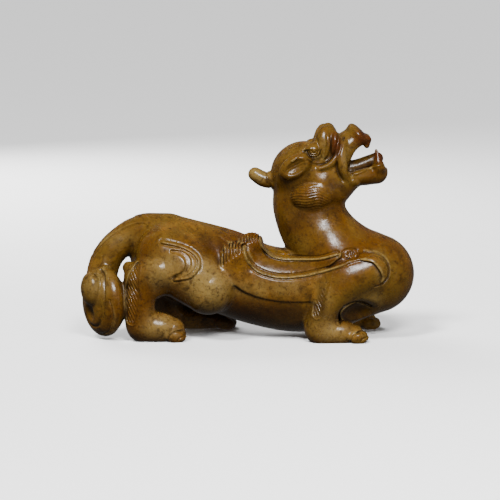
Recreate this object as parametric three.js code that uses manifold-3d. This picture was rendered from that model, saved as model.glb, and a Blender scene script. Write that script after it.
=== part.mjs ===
// A crouching mythical beast carved from one pebble of brown and olive jade, in millimetres.
// +x runs from the tail to the chest, +z is up, and the flank that is seen first faces -y.
// The origin is on the ground, below the middle of the carving.
//
// The stone is one closed surface: every form is a signed distance (negative inside the stone),
// the forms are blended into one another, and the result is turned into a mesh on a lattice.
import Module from "manifold-3d";
import * as THREE from "three";
import { SimplifyModifier } from "three/addons/modifiers/SimplifyModifier.js";
import { mergeVertices } from "three/addons/utils/BufferGeometryUtils.js";

// Driving dimensions
const CHEST = { x: 49.3, z: 24.3, radius: 15.4 };
const BELLY_HALF_WIDTH = 17.5;
const STANCE = 15.5; // from the middle of the body to the middle of a fore paw
const HIND_STANCE = 13; // the same for the near hind paw
const FAR_FORE_STEP = 6.5; // how much further forward the far fore paw stands
const NECK_HALF_WIDTH = 10.5;
const HEAD_HALF_WIDTH = 11.5;
const TAIL_RADIUS = 6;
const COIL_YAW = -53; // degrees that turn the coil's flat side towards the tail end
const WING_THICKNESS = 1.2;
const FAR_WING_DROP = 2.6; // how much lower the wings lie on the far flank
const RIM_WIDTH = 0.8; // of the lines carved along the wings and around the hips and shoulders
const SOLE_CUT = 0.3; // taken off below the paws, so that their soles are flat
const CELL = 1.2; // lattice spacing of the finest mesh
const TRIANGLES = 9600; // left once flat stretches are made plainer

// Signed distances

const { min, max, abs, sqrt, exp } = Math;
const FAR = 9; // beyond this a form is measured by the box around it alone

const size = (a, b, c = 0) => sqrt(a * a + b * b + c * c);

function smoothMin(a, b, k) {
  const h = max(k - abs(a - b), 0) / k;
  return min(a, b) - (h * h * k) / 4;
}

const smoothMax = (a, b, k) => -smoothMin(-a, -b, k);

const blend = (k, ...fields) => (x, y, z) => {
  let d = fields[0](x, y, z);
  for (let i = 1; i < fields.length; i++) d = smoothMin(d, fields[i](x, y, z), k);
  return d;
};

const carve = (k, field, cutter) => (x, y, z) => smoothMax(field(x, y, z), -cutter(x, y, z), k);

// The same form on both flanks, given on the near one (-y).
const paired = (field) => (x, y, z) => field(x, -abs(y), z);

// Measures a field only near the box that holds it.
function boxed([lowX, lowY, lowZ], [highX, highY, highZ], field) {
  return (x, y, z) => {
    const away = size(
      max(lowX - x, x - highX, 0), max(lowY - y, y - highY, 0), max(lowZ - z, z - highZ, 0));
    return away > FAR ? away : field(x, y, z);
  };
}

// An egg with its own x, y and z radii, turned in degrees: tilt lifts its +x end, yaw swings that end
// away from the near flank, and roll turns it about its own x axis.
function egg(centre, radii, tilt = 0, yaw = 0, roll = 0) {
  const [cx, cy, cz] = centre;
  const [rx, ry, rz] = radii;
  const turn = new THREE.Euler(...[roll, -tilt, yaw].map(THREE.MathUtils.degToRad), "YZX");
  const m = new THREE.Matrix4().makeRotationFromEuler(turn).elements;
  const reach = max(rx, ry, rz);
  return boxed(centre.map((c) => c - reach), centre.map((c) => c + reach), (x, y, z) => {
    const px = x - cx;
    const py = y - cy;
    const pz = z - cz;
    const a = (m[0] * px + m[1] * py + m[2] * pz) / rx;
    const b = (m[4] * px + m[5] * py + m[6] * pz) / ry;
    const c = (m[8] * px + m[9] * py + m[10] * pz) / rz;
    const near = size(a, b, c);
    const slope = size(a / rx, b / ry, c / rz);
    return slope < 1e-9 ? -min(rx, ry, rz) : (near * (near - 1)) / slope;
  });
}

// Rows of six numbers or fewer read as a smooth curve, returned as many short steps.
function smoothRows(rows, steps) {
  const curves = [0, 3].map((from) => {
    const points = rows.map((row) => new THREE.Vector3(...[0, 1, 2].map((i) => row[from + i] ?? 0)));
    return new THREE.CatmullRomCurve3(points, false, "catmullrom", 0.5);
  });
  const count = (rows.length - 1) * steps;
  const at = (t) => curves.flatMap((curve) => curve.getPoint(t).toArray());
  return Array.from({ length: count + 1 }, (_, i) => at(i / count));
}

// The form swept along rows of x, y, z, thickness and width. measure() turns the distance from the
// middle line, y, the side (1 to the left of the line) and the two sizes there into a signed distance;
// flat rows are seen from the side.
function swept(rows, steps, measure, flat = false) {
  const path = smoothRows(rows, steps);
  const reach = max(...rows.map((row) => max(row[3], row[4] ?? 0)));
  const low = [0, 1, 2].map((i) => min(...path.map((p) => p[i])) - reach);
  const high = [0, 1, 2].map((i) => max(...path.map((p) => p[i])) + reach);
  if (flat) [low[1], high[1]] = [-Infinity, Infinity];
  const links = path.slice(1).map((b, i) => {
    const a = path[i];
    const along = [b[0] - a[0], flat ? 0 : b[1] - a[1], b[2] - a[2]];
    return { a, b, along, square: along[0] ** 2 + along[1] ** 2 + along[2] ** 2 };
  });
  return boxed(low, high, (x, y, z) => {
    let [nearest, side, thickness, width] = [Infinity, 0, 0, 0];
    for (const { a, b, along, square } of links) {
      const px = x - a[0];
      const py = flat ? 0 : y - a[1];
      const pz = z - a[2];
      const t = min(max((px * along[0] + py * along[1] + pz * along[2]) / square, 0), 1);
      const away = size(px - along[0] * t, py - along[1] * t, pz - along[2] * t);
      if (away >= nearest) continue;
      nearest = away;
      side = Math.sign(along[0] * pz - along[2] * px);
      thickness = a[3] + (b[3] - a[3]) * t;
      width = a[4] + (b[4] - a[4]) * t;
    }
    return measure(nearest, y, side, thickness, width);
  });
}

// A limb: rows of x, y, z and radius along its middle.
const limb = (rows, steps = 4) => swept(rows, steps, (away, y, side, radius) => away - radius);

// A trunk in the plane y = 0: rows of x, z, half thickness in that plane and half width across it.
const trunk = (rows, steps = 4) =>
  swept(rows.map(([x, z, h, w]) => [x, 0, z, h, w]), steps, (away, y, side, h, w) => {
    const near = size(away / h, y / w);
    return (near * (near - 1)) / max(size(away / (h * h), y / (w * w)), 1e-9);
  }, true);

// A broad stroke on a flank, seen from the side: rows of x, z and half width.
const stroke = (rows, steps = 4) =>
  swept(rows.map(([x, z, r = 0]) => [x, 0, z, r]), steps, (away, y, side, radius) => away - radius, true);

// A region seen from the side, below a line drawn in the direction of +x: rows of x and z along the
// line, and how far the region reaches below it.
function feather(rows, steps = 4) {
  const measure = (away, y, side, reach) => max(side * away, -side * away - reach);
  return swept(rows.map(([x, z, reach]) => [x, 0, z, reach]), steps, measure, true);
}

// Reliefs change the distance to a surface near what is drawn on a flank.
const dressed = (field, ...reliefs) => (x, y, z) => {
  let d = field(x, y, z);
  if (abs(d) < 6) for (const relief of reliefs) d = relief(d, x, y, z);
  return d;
};

// A flat layer with a crisp edge.
const layer = (region, thickness) => (d, x, y, z) =>
  smoothMin(d, smoothMax(d - thickness, region(x, y, z), 0.8), 0.5);

// A rounded line that stands out, or is sunk in if its height is negative.
const ridge = (line, width, height) => (d, x, y, z) => {
  const away = max(line(x, y, z), 0) / width;
  return away > 2.5 ? d : d - height * exp(-(away ** 2));
};

// The same form or relief on both flanks, but lower on the far one.
const farLowered = (field) => (x, y, z) => field(x, -abs(y), y > 0 ? z + FAR_WING_DROP : z);
const farLoweredRelief = (relief) => (d, x, y, z) => relief(d, x, -abs(y), y > 0 ? z + FAR_WING_DROP : z);

// Trunk of the animal

const body = trunk([
  [-31, 32.4, 14.8, 13.5],
  [-20, 29.2, 15.2, 14.5],
  [-8, 24.6, 16.3, 15.5],
  [5, 19.8, 15.8, 16.5],
  [18, 17.9, 16.4, BELLY_HALF_WIDTH],
  [31, 20, 17.5, 18],
  [42, 22.6, 16.2, 17.5],
  [CHEST.x, CHEST.z, CHEST.radius, 15.5],
]);

const neck = trunk([
  [36, 26, 14, 17.5],
  [31.6, 34, 14, 15.8],
  [26.1, 43, 13.9, 12.2],
  [23.4, 51, 13.4, NECK_HALF_WIDTH],
  [22, 60, 12, NECK_HALF_WIDTH - 1],
]);

const throat = trunk([
  [33, 34.3, 12, 14],
  [40, 32, 11.7, 14.5],
  [45, 30.5, 11.2, 14],
]);

const armpit = paired(egg([45, -19, 8.6], [10, 11, 7.6], -14));

const torso = blend(1.6, carve(1.6, body, armpit), blend(4.5, neck, throat));

// Wings: two long feathers on each flank, each with a rim along its upper edge and a curled tip

const upperEdge = [
  [5, 39.4, 5],
  [5.8, 36.1, 8],
  [8.6, 33.1, 8],
  [13.2, 31.7, 8],
  [20.1, 31.6, 8],
  [27, 32.2, 5],
  [34, 34.2, 2],
];
const lowerEdge = [
  [-1.2, 36.4, 8],
  [-0.7, 33.8, 10],
  [0.9, 30.4, 10],
  [4.7, 27.3, 9.6],
  [11.6, 25.4, 9.4],
  [20, 25.8, 10.2],
  [28.4, 27.7, 11],
  [36.1, 30.3, 10],
  [39, 31.6, 6],
  [43, 32.6, 2],
];
const upperTip = egg([1.6, -8.6, 37.4], [4.8, 3.6, 4.2]);
const lowerTip = egg([-4.6, -11.6, 32.4], [5.4, 4.4, 5.4]);

const lowerThan = (top, region) => (x, y, z) => max(region(x, y, z), z - top);
const apart = (region, other) => (x, y, z) => max(region(x, y, z), -other(x, y, z));
const rim = (edge) => ridge(stroke(edge.map(([x, z]) => [x, z])), RIM_WIDTH, RIM_WIDTH);

const upperFeather = apart(lowerThan(40.2, feather(upperEdge)), feather(lowerEdge));
const lowerFeather = lowerThan(37, feather(lowerEdge));
const upperWinged = dressed(
  blend(2.5, torso, farLowered(upperTip)),
  farLoweredRelief(layer(upperFeather, WING_THICKNESS)),
  farLoweredRelief(rim(upperEdge)),
);
const winged = dressed(
  blend(2, upperWinged, farLowered(lowerTip)),
  farLoweredRelief(layer(lowerFeather, WING_THICKNESS * 1.3)),
  farLoweredRelief(rim(lowerEdge)),
);

// Legs

const thigh = limb([
  [-31.5, -8, 32.6, 11.6],
  [-23.5, -10, 27.2, 12.4],
  [-15.2, -12, 20.6, 10.5],
]);
const shank = limb([
  [-36, -12, 25, 8.6],
  [-41, -14, 18, 6.2],
  [-41.2, -14, 8, 5.7],
]);
const calf = limb([
  [-40.5, -13.5, 24.4, 7],
  [-34.5, -15, 27, 6.9],
  [-30.4, -15.2, 28, 6.4],
]);
const hindFoot = limb([
  [-40.6, -HIND_STANCE, 5, 5.6],
  [-34, -HIND_STANCE, 5.2, 5.9],
  [-29, -HIND_STANCE, 4.2, 4.9],
]);
const hindFringe = limb([
  [-45.6, -12.5, 28.4, 2.4],
  [-44.6, -12.5, 25, 2],
  [-45.9, -13, 20, 2.2],
  [-46, -13, 12, 1.9],
]);

const foreArm = limb([
  [46, -11, 27, 9],
  [38, -13.5, 23.2, 7.8],
  [31, -15.2, 15, 6.2],
  [27.4, -STANCE, 6.5, 5.8],
]);
const foreFoot = limb([
  [28, -STANCE, 3.8, 5.4],
  [36.6, -STANCE, 3.6, 4.8],
  [40.5, -STANCE, 3, 3.9],
]);

const farThigh = limb([
  [-33, 8, 32, 12.5],
  [-24, 10, 24, 12.8],
  [-10, 13, 18.6, 8.7],
]);
const farShank = limb([
  [-33, 13, 25.5, 7.6],
  [-34, 15, 18, 7.4],
  [-31, 16, 8, 6.6],
]);
const farFoot = limb([
  [-33, 16, 4.4, 5.4],
  [-14, 16, 3.6, 4.5],
  [-10, 16, 3, 3.9],
]);

// Four toes side by side at the front of a paw: the middle ones are centred near x and reach 3.6 further.
function toes(x, stance) {
  const eggs = [-3.9, -1.4, 1.2, 3.8].map((across, i) => {
    const centre = [x - abs(i - 1.4) * 0.7, across - stance, 2.1];
    return egg(centre, [3.6, 1.5, 2.4], -6, -across * 2);
  });
  return blend(0.4, ...eggs);
}

// The same form on the far flank, further forward by dx.
const mirrored = (field, dx) => (x, y, z) => field(x - dx, -y, z);

const hindLeg = blend(1, blend(2.2, thigh, shank, hindFoot), calf, toes(-26.8, HIND_STANCE), hindFringe);
const foreLeg = blend(1, blend(2.2, foreArm, foreFoot), toes(43.1, STANCE));
const farHindLeg = blend(2, farThigh, farShank, farFoot, mirrored(toes(-26.6, 16), 19));
const legs = blend(3, hindLeg, foreLeg, farHindLeg, mirrored(foreLeg, FAR_FORE_STEP));

const thighScroll = stroke([
  [-28.8, 35.6, 0.1],
  [-25, 34.9, 0.4],
  [-22.8, 32.8, 0.7],
  [-22.6, 30.1, 0.7],
  [-24.4, 27.6, 0.4],
  [-28, 26, 0.1],
]);
const shoulderCrescent = stroke([
  [43.3, 32.3, 0.3],
  [47.6, 32.4, 1.2],
  [50.3, 30.8, 1.8],
  [51.9, 28.2, 1.7],
  [52, 25.5, 1.1],
  [50.8, 23.4, 0.2],
]);
const trunkAndLegs = dressed(
  blend(2, winged, legs),
  ridge(thighScroll, RIM_WIDTH, -RIM_WIDTH),
  layer(shoulderCrescent, 1),
);

// Tail

const tail = limb([
  [-31, 0, 40.4, 7.2],
  [-40, 0, 40.3, 7.4],
  [-47.2, -0.6, 38, TAIL_RADIUS + 0.3],
  [-53.2, -2, 32.8, TAIL_RADIUS],
  [-56.2, -3.5, 25.6, TAIL_RADIUS],
  [-56.4, -5, 18, TAIL_RADIUS],
]);

// The end of the tail, rolled into a scroll: drawn as a disc that faces -y, then turned.
function coil() {
  const disc = egg([0, 0, 0], [11.5, 6.6, 13.6]);
  const knob = egg([0.6, -6.4, 5.6], [4.6, 3.6, 6.4]);
  const pit = egg([-1, -7.6, -4.2], [3.2, 2.8, 4]);
  return turned(blend(0.8, carve(0.8, disc, pit), knob), [-55.4, -9, 14.7], COIL_YAW);
}

// A form drawn around the origin, swung about the vertical in degrees and set at its centre.
function turned(field, [cx, cy, cz], yaw) {
  const angle = THREE.MathUtils.degToRad(yaw);
  const c = Math.cos(angle);
  const s = Math.sin(angle);
  const placed = (px, py, pz) => field(px * c + py * s, py * c - px * s, pz);
  return (x, y, z) => placed(x - cx, y - cy, z - cz);
}

// Head

const skull = egg([20.5, 0, 64.8], [12, HEAD_HALF_WIDTH, 10.6], 35);
const cheek = egg([28.2, 0, 60.2], [10.6, HEAD_HALF_WIDTH, 9.6], 20);
const jowl = paired(egg([26.6, -5.6, 56.6], [9.6, 6.6, 6.4], 10));
const lowerJaw = trunk([
  [33, 58, 8, 10],
  [41, 62, 4.4, 8.4],
  [46, 63, 4.2, 7.2],
  [49.6, 63.8, 4.6, 5.6],
]);
const snoutBlock = trunk([
  [31, 67, 9, 9.5],
  [37, 72.6, 6.6, 8],
  [41, 76.4, 5.2, 6.4],
  [44, 79.4, 5, 6],
]);
const nose = egg([43.2, 0, 78.7], [3.2, 6.6, 5.4], 45);
const noseFace = (x, y, z) => (x + z - 123.9) / Math.SQRT2;
const snoutEnd = (x, y, z) => smoothMin(snoutBlock(x, y, z), nose(x, y, z), 1.5);
const snout = (x, y, z) => smoothMax(snoutEnd(x, y, z), noseFace(x, y, z), 1.2);

const brow = egg([30, -5, 74.6], [4.4, 4.6, 8.1], -12);
const browLeaf = egg([28.9, -7.4, 75.6], [2, 3, 6.8], -7);
const eyeball = egg([32.9, -6.6, 75.6], [2.3, 3.6, 5.2], -4);
const browLobe = egg([25.2, -8.4, 72.8], [3.3, 3, 3.3]);
const brows = paired(blend(0.4, blend(0.8, brow, browLobe), browLeaf, eyeball));
const ears = paired(carve(0.6,
  egg([18.2, -10.8, 67.1], [6.9, 3.4, 4.3], 33, 4),
  egg([18.1, -14.6, 67], [4.7, 3, 2.5], 33, 4)));
const beard = paired(egg([24.6, -9.4, 55.8], [8, 4, 5.4], 4));
const horn = limb([
  [10, 0, 60.8, 3.5],
  [6, 0, 61.2, 3.1],
  [2.9, 0, 63, 2.7],
]);
const cheekFold = limb([
  [35.6, -6.4, 77.6, 0.6],
  [35.9, -6.8, 75.6, 1],
  [35.2, -7.6, 73, 1.3],
  [33.6, -8.6, 70.2, 1.5],
  [30.8, -9.5, 67.4, 1.4],
  [27.4, -10.2, 66.2, 0.8],
]);
const mouthFold = limb([
  [37.8, -6.2, 78, 0.7],
  [36.6, -7.2, 75, 1.3],
  [35.9, -8.2, 70.4, 1.9],
  [36.6, -8.6, 65.6, 2],
  [38.8, -7.8, 61.8, 1.6],
  [41.8, -7.2, 60.4, 1],
]);
const folds = paired(blend(1.2, cheekFold, mouthFold));

const mouthGap = stroke([
  [39.9, 65.8, 1.4],
  [44.5, 69.6, 4.4],
  [50, 71, 5],
  [60, 72, 7],
]);
const throatHollow = egg([44, 0, 66.5], [6, 4.6, 3.2], 12);
const tongue = limb([
  [38, 0, 65, 2.8],
  [43, 0, 66.4, 2.6],
  [48.4, 0, 69.4, 1.7],
]);
const lowerFangs = paired(limb([
  [50.8, -4, 65.8, 2],
  [50, -3.6, 71, 0.8],
]));
const upperFangs = paired(limb([
  [45.8, -3.8, 76.6, 1.8],
  [45.8, -4, 74.5, 1.1],
]));

const headMass = blend(2.5, skull, cheek, lowerJaw, snout);
const headOpen = carve(0.8, carve(0.8, headMass, mouthGap), throatHollow);
const mouthed = blend(0.9, headOpen, tongue, lowerFangs, upperFangs);
const head = blend(0.9, mouthed, jowl, brows, folds, ears, beard, horn);

// Low ridges along the spine and down the nape

const spine = limb([
  [-38, 0, 46.8, 0.4],
  [-30, 0, 46.7, 0.7],
  [-21, 0, 44.4, 0.9],
  [-5, 0, 40.2, 0.9],
  [6, 0, 35.2, 0.8],
  [12, 0, 33.2, 0.5],
]);
const nape = limb([
  [18, 0, 33, 0.4],
  [14, 0, 40, 0.8],
  [11, 0, 49, 1],
  [10.8, 0, 57, 0.8],
]);

// Whole carving

const carved = blend(0.6, blend(1.6, trunkAndLegs, tail, coil(), head), spine, nape);
const beast = (x, y, z) => smoothMax(carved(x, y, z), -z - SOLE_CUT, 0.4);

// Mesh

// The field measured at the nodes of a lattice.
function sampled(field, low, cell, counts) {
  const [nx, ny, nz] = counts;
  const values = new Float64Array(nx * ny * nz);
  const points = new Float64Array(nx * ny * nz * 3);
  for (let k = 0, n = 0; k < nz; k++)
    for (let j = 0; j < ny; j++)
      for (let i = 0; i < nx; i++, n++) {
        const p = [low[0] + i * cell, low[1] + j * cell, low[2] + k * cell];
        points.set(p, 3 * n);
        values[n] = field(...p);
      }
  return { counts, values, points };
}

const CORNERS = Array.from({ length: 8 }, (_, c) => [c & 1, (c >> 1) & 1, c >> 2]);

// True where the corners of a cell with this sign join up along the cell's edges.
function joined(signs, wanted) {
  const members = [0, 1, 2, 3, 4, 5, 6, 7].filter((c) => signs[c] === wanted);
  const reached = new Set(members.slice(0, 1));
  for (const c of reached)
    for (const bit of [1, 2, 4]) if (signs[c ^ bit] === wanted) reached.add(c ^ bit);
  return reached.size === members.length;
}

// True where a face of the cell has its two signs on opposite diagonals.
const crossed = (signs) => [[1, 2], [1, 4], [2, 4]].some(([u, v]) =>
  [0, 7 ^ u ^ v].some((base) => signs[base] !== signs[base ^ u]
    && signs[base] === signs[base ^ u ^ v] && signs[base ^ u] === signs[base ^ v]));

// Calls back with the eight nodes of every cell.
function eachCell([nx, ny, nz], visit) {
  for (let k = 0; k < nz - 1; k++)
    for (let j = 0; j < ny - 1; j++)
      for (let i = 0; i < nx - 1; i++)
        visit(CORNERS.map(([a, b, c]) => i + a + nx * (j + b + ny * (k + c))));
}

// Fills the narrowest clefts, until the surface goes through each cell in one sheet.
function untangle({ counts, values }) {
  for (let filled = -1; filled !== 0;) {
    filled = 0;
    eachCell(counts, (nodes) => {
      const signs = nodes.map((n) => values[n] < 0);
      if (joined(signs, true) && joined(signs, false) && !crossed(signs)) return;
      const open = nodes.filter((n) => values[n] >= 0);
      const nearest = open.reduce((a, b) => (values[b] < values[a] ? b : a));
      values[nearest] = -0.05;
      filled++;
    });
  }
}

// Where the surface crosses the edges of a cell, on average; undefined if it passes the cell by.
function middleOf(nodes, { values, points }) {
  const sum = [0, 0, 0];
  let crossings = 0;
  for (let a = 0; a < 8; a++)
    for (const bit of [1, 2, 4]) {
      const [n, m] = [nodes[a], nodes[a | bit]];
      if (a & bit || values[n] < 0 === values[m] < 0) continue;
      const t = values[n] / (values[n] - values[m]);
      for (const i of [0, 1, 2]) sum[i] += points[3 * n + i] * (1 - t) + points[3 * m + i] * t;
      crossings++;
    }
  return crossings ? sum.map((s) => s / crossings) : undefined;
}

// Brings a point to the surface along the field's slope, but no further than the limit.
function settled(field, point, limit) {
  const e = 0.1;
  const d = field(...point);
  const slope = [0, 1, 2].map((i) => (field(...point.map((v, j) => (i === j ? v + e : v))) - d) / e);
  const steep = max(size(...slope), 0.3);
  const move = min(max(-d / steep, -limit), limit);
  return point.map((v, i) => v + (slope[i] / steep) * move);
}

// Turns a field into a closed mesh: one vertex in each cell that the surface crosses, and one quad
// around each lattice edge that it crosses.
function polygonise(field, low, high, cell) {
  const counts = low.map((v, i) => Math.ceil((high[i] - v) / cell) + 1);
  const lattice = sampled(field, low, cell, counts);
  untangle(lattice);
  const { values } = lattice;
  const cellVertex = new Int32Array(values.length).fill(-1);
  const position = [];
  eachCell(counts, (nodes) => {
    const middle = middleOf(nodes, lattice);
    if (!middle) return;
    cellVertex[nodes[0]] = position.length / 3;
    position.push(...settled(field, middle, cell / 4));
  });
  const index = [];
  const steps = [1, counts[0], counts[0] * counts[1]];
  for (let n = steps[2]; n < values.length - steps[2]; n++)
    for (const axis of [0, 1, 2]) {
      const inside = values[n] < 0;
      if (inside === values[n + steps[axis]] < 0) continue;
      const [u, v] = [steps[(axis + 1) % 3], steps[(axis + 2) % 3]];
      const quad = [n - u - v, n - v, n, n - u].map((at) => cellVertex[at]);
      if (!inside) quad.reverse();
      index.push(quad[0], quad[1], quad[2], quad[0], quad[2], quad[3]);
    }
  const geometry = new THREE.BufferGeometry();
  geometry.setAttribute("position", new THREE.Float32BufferAttribute(position, 3));
  geometry.setIndex(index);
  return geometry;
}

// A closed mesh as a solid that can be cut, and back again.
const wasm = await Module();
wasm.setup();

function solidOf(geometry) {
  const plain = geometry.clone();
  for (const name of ["normal", "uv"]) plain.deleteAttribute(name);
  const merged = mergeVertices(plain);
  return new wasm.Manifold(new wasm.Mesh({
    numProp: 3,
    vertProperties: Float32Array.from(merged.getAttribute("position").array),
    triVerts: Uint32Array.from(merged.getIndex().array),
  }));
}

function geometryOf(solid) {
  const { vertProperties, triVerts } = solid.getMesh();
  const geometry = new THREE.BufferGeometry();
  geometry.setAttribute("position", new THREE.Float32BufferAttribute(vertProperties, 3));
  geometry.setIndex([...triVerts]);
  return geometry;
}

const fine = polygonise(beast, [-68, -27, -3], [68, 27, 87], CELL);
const spare = fine.getAttribute("position").count - TRIANGLES / 2;
const whole = solidOf(await new SimplifyModifier().modify(fine, spare));
const ground = new THREE.BoxGeometry(200, 100, 20).translate(0, 0, -10);
const geometry = geometryOf(whole.subtract(solidOf(ground)));
geometry.computeBoundingBox();
const middle = geometry.boundingBox.getCenter(new THREE.Vector3());
geometry.translate(-middle.x, -middle.y, 0);
geometry.computeVertexNormals();

const jade = new THREE.MeshStandardMaterial({ color: 0x7a5a2c, roughness: 0.3, metalness: 0 });
const carving = new THREE.Mesh(geometry, jade);
carving.name = "jade_mythical_beast";
const group = new THREE.Group();
group.add(carving);

export default group;
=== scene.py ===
"""A crouching mythical beast carved from one pebble of brown and olive jade, with wax-polished skin.

The carving is a signed distance in millimetres (negative inside the stone), in the frame's own axes:
+x from the tail to the chest, +z up, and the flank that is seen first faces -y. Named forms are
blended into one another, fine carving is laid on them, and the surface is drawn from the distances on
a lattice.
"""
from concurrent.futures import ThreadPoolExecutor

import bpy
import numpy as np
import openvdb
from mathutils import Matrix, Vector


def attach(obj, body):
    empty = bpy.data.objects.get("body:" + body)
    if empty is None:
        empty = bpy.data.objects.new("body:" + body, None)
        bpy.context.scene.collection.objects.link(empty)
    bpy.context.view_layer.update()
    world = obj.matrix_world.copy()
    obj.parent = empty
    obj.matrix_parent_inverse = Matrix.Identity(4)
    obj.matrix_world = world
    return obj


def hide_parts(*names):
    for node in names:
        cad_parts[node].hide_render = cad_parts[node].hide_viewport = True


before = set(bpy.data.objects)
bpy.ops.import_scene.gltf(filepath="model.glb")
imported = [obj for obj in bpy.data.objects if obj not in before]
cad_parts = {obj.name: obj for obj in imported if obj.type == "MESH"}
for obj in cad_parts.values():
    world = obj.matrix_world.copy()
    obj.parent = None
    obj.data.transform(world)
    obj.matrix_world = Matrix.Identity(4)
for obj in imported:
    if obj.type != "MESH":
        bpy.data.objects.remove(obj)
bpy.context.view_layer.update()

# Driving dimensions, in millimetres
CHEST = Vector((49.3, 0, 24.3))
CHEST_RADIUS = 15.4
BELLY_HALF_WIDTH = 17.5
STANCE = 15.5  # from the middle of the body to the middle of a fore paw
HIND_STANCE = 13  # the same for a hind paw
NECK_HALF_WIDTH = 10.5
HEAD_HALF_WIDTH = 11.5
TAIL_RADIUS = 6
COIL_YAW = -53  # degrees that turn the coil's flat side towards the tail end
FAR_FORE_STEP = 6.5  # how much further forward the far fore leg stands
WING_THICKNESS = 1.2
FAR_WING_DROP = 2.6  # how much lower the far wings sit
RIM_WIDTH = 0.45  # of the lines carved along the wings and around the hips and shoulders

# How finely the surface is drawn
CELL = 0.28  # from one point of the lattice to the next
LATTICE_LOW = np.array((-68.0, -27.0, -2.0))
LATTICE_HIGH = np.array((68.0, 27.0, 87.0))
BLOCK = 5  # cells along the side of a block
BLOCK_REACH = 1.3  # sides of a block, from its middle, within which the surface may touch it
BAND = 2  # cells on both sides of the surface where distances are kept
CURVE_STEPS = 9  # from one row of a curve to the next
TRIANGLES = 190_000
WORKERS = 4
MILLIMETRES = 1000  # in a metre

# Colours of the stone
BROWN = (0.07, 0.026, 0.002)
OLIVE = (0.085, 0.045, 0.006)
GOLD = (0.15, 0.068, 0.008)
CELADON = (0.19, 0.128, 0.038)
UMBER = (0.02, 0.008, 0.002)
RUSSET = (0.045, 0.009, 0.002)
# Dirt in the recesses, which also stands for painted shade there
DIRT_AND_SHADE = (0.012, 0.005, 0.002)

# Where its colour changes, and where light and shade are painted on: middle and radii in millimetres, and
# how strongly
# Pale patches: partly paler stone, partly painted highlights
PALE_AND_LIT_PATCHES = [
    ((-18.5, -20, 27), (5, 12, 7), 0.7),
    ((-14, -20, 21), (9, 12, 11), 0.8),
    ((-32, -20, 28), (9, 12, 8), 0.9),
    ((-34, -20, 12), (7, 10, 5), 0.5),
    ((-33, -16, 5), (9, 10, 5), 1),
    ((36, -20, 4), (9, 10, 5), 0.6),
    ((30, -20, 12), (5, 8, 12), 0.4),
    ((7, -18, 21.5), (18, 8, 4.5), 0.6),
    ((50, -14, 28), (3, 8, 5), 0.8),
    ((48, -14, 16), (8, 8, 5), 0.6),
    ((-58, -14, 22), (6, 8, 7), 0.9),
    ((-48, -8, 18), (6, 8, 9), 0.5),
    ((-50, -5, 39), (9, 8, 4), 0.5),
    ((4, -3, 63), (5, 5, 4), 1.1),
    ((28.5, -10, 76), (2.5, 5, 7), 0.4),
    ((37, -9, 70), (2.5, 5, 6), 0.5),
    ((10, -14, 6), (22, 14, 8), 0.35),
]
# Dark patches: partly darker stone, partly painted shade
DARK_AND_SHADED_PATCHES = [
    ((-14, -12, 38), (9, 12, 7), 0.9),
    ((16, -10, 44), (8, 12, 9), 0.7),
    ((28, -8, 50), (12, 12, 4), 0.6),
    ((31, -12, 62), (4, 6, 4), 0.6),
    ((62, 0, 34), (7, 14, 10), 0.6),
    # Painted shade under the belly
    ((5, -10, 8), (34, 26, 8), 0.6),
    ((14, -15, 29), (16, 8, 2.6), 0.6),
    ((-40, -18, 22), (3, 8, 14), 0.4),
    ((8, -17, 12.5), (26, 10, 4.5), 0.7),
    # Painted shade in the armpit
    ((42, -15, 10.5), (7, 9, 4.5), 1.6),
    ((28.4, -19, 19), (2.2, 8, 9), 0.7),
    # Painted shade inside the mouth
    ((45, 0, 67.4), (8, 9, 2.4), 1.1),
    ((35, -9, 59), (6, 8, 4), 0.5),
    # Painted shade inside the mouth, at its front
    ((50, 0, 70), (3, 8, 3), 0.5),
]
RUSSET_PATCHES = [
    ((33.6, -9, 75.6), (3, 6, 7), 1.2),
    ((46, -4, 78), (6, 8, 5), 1.5),
    ((51, -4, 71), (3, 8, 4), 1.5),
]

# The photograph's camera, in metres
CAMERA_HEIGHT_ANGLE = 8  # degrees above the horizon
CAMERA_DISTANCE = 0.9
CAMERA_TARGET = Vector((0.00063, 0, 0.0334))
VIEW_WIDTH = 0.1942  # of what the picture takes in, at the target
SENSOR_WIDTH = 36  # millimetres
LIT_SPOT = Vector((0, 0, 0.03))  # where the lamps point


# Signed distances

FAR = 5.0  # beyond this a form is measured by the box around it alone


def size(a, b, c=0.0):
    return np.sqrt(a * a + b * b + c * c)


def smooth_min(a, b, k):
    """The smaller distance, with a rounded change where the two differ by less than k."""
    h = np.maximum(k - np.abs(a - b), 0) / k
    return np.minimum(a, b) - h * h * (k / 4)


def smooth_max(a, b, k):
    return -smooth_min(-a, -b, k)


def blend(k, *fields):
    """Joins forms, with the hollow between them rounded over about k millimetres."""

    def field(x, y, z):
        d = fields[0](x, y, z)
        for other in fields[1:]:
            d = smooth_min(d, other(x, y, z), k)
        return d

    return field


def carve(k, stone, *cutters):
    """Cuts forms out of a stone, with edges rounded over about k millimetres."""

    def field(x, y, z):
        d = stone(x, y, z)
        for cutter in cutters:
            d = smooth_max(d, -cutter(x, y, z), k)
        return d

    return field


def paired(field):
    """The same form on both flanks, given on the near one (-y)."""
    return lambda x, y, z: field(x, -np.abs(y), z)


def shifted(field, dx):
    """A form of the near flank on the far one, dx further forward."""
    return lambda x, y, z: field(x - dx, -y, z)


def turned(field, centre, yaw):
    """A form drawn around the origin, swung about the vertical in degrees and set at its centre."""
    c, s = np.cos(np.radians(yaw)), np.sin(np.radians(yaw))

    def placed(x, y, z):
        px, py = x - centre[0], y - centre[1]
        return field(px * c + py * s, py * c - px * s, z - centre[2])

    return placed


def boxed(low, high, field):
    """Measures a field only near the box that holds it."""

    def near_box(x, y, z):
        gaps = [np.maximum(np.maximum(a - v, v - b), 0) for a, b, v in zip(low, high, (x, y, z))]
        away = size(*gaps)
        near = away <= FAR
        if near.any():
            away[near] = field(x[near], y[near], z[near])
        return away

    return near_box


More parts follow.
